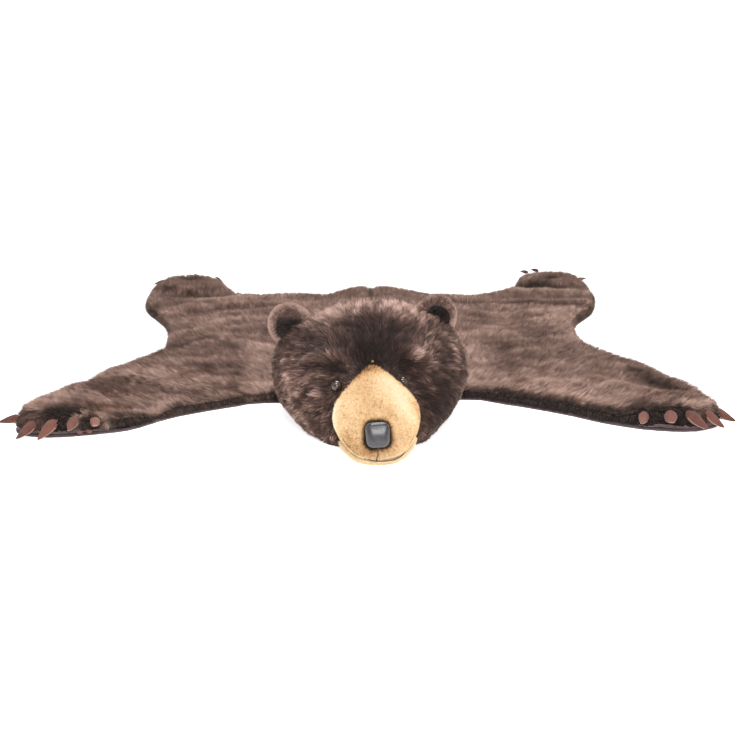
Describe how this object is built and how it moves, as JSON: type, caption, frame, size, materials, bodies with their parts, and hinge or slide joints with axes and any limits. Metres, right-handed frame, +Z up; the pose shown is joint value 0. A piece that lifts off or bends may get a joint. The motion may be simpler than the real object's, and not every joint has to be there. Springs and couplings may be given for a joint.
{
  "type": "bear shaped rug",
  "caption": "Play rug in the shape of a bear: a flat fur skin with felt backing, padded paws with claws, and a stuffed head with cupped ears, a plush muzzle and a glossy nose.",
  "frame": {"origin": "on the floor, in the middle of the box around the whole rug", "axes": "+Z up; the head looks along -Y; +X is on the right of someone who faces the bear"},
  "size_m": [1.2234, 1.4165, 0.2071],
  "materials": {
    "body_fur": "short combed fur with a pinkish sheen",
    "head_fur": "longer dark brown fur with paler tips",
    "ear_velvet": "very short dark pile",
    "muzzle_plush": "short tan plush, airbrushed darker at the bridge and nose",
    "jaw_plush": "short cream plush",
    "nose_vinyl": "glossy moulded vinyl",
    "eye_glass": "high gloss dark brown",
    "claw_felt": "smooth felt, reddish brown",
    "felt_backing": "matt felt"
  },
  "bodies": {
    "root": {"rug_body": "body_fur", "lining": "felt_backing", "head": "head_fur", "muzzle": "muzzle_plush", "jaw": "jaw_plush", "nose": "nose_vinyl", "eye_left": "eye_glass", "eye_right": "eye_glass", "ear_left": "head_fur", "ear_right": "head_fur", "ear_lining_left": "ear_velvet", "ear_lining_right": "ear_velvet", "claw_front_left_1": "claw_felt", "claw_front_left_2": "claw_felt", "claw_front_left_3": "claw_felt", "claw_front_left_4": "claw_felt", "claw_front_left_5": "claw_felt", "claw_front_right_1": "claw_felt", "claw_front_right_2": "claw_felt", "claw_front_right_3": "claw_felt", "claw_front_right_4": "claw_felt", "claw_front_right_5": "claw_felt", "claw_hind_left_1": "claw_felt", "claw_hind_left_2": "claw_felt", "claw_hind_left_3": "claw_felt", "claw_hind_left_4": "claw_felt", "claw_hind_left_5": "claw_felt", "claw_hind_right_1": "claw_felt", "claw_hind_right_2": "claw_felt", "claw_hind_right_3": "claw_felt", "claw_hind_right_4": "claw_felt", "claw_hind_right_5": "claw_felt"}
  },
  "joints": []
}
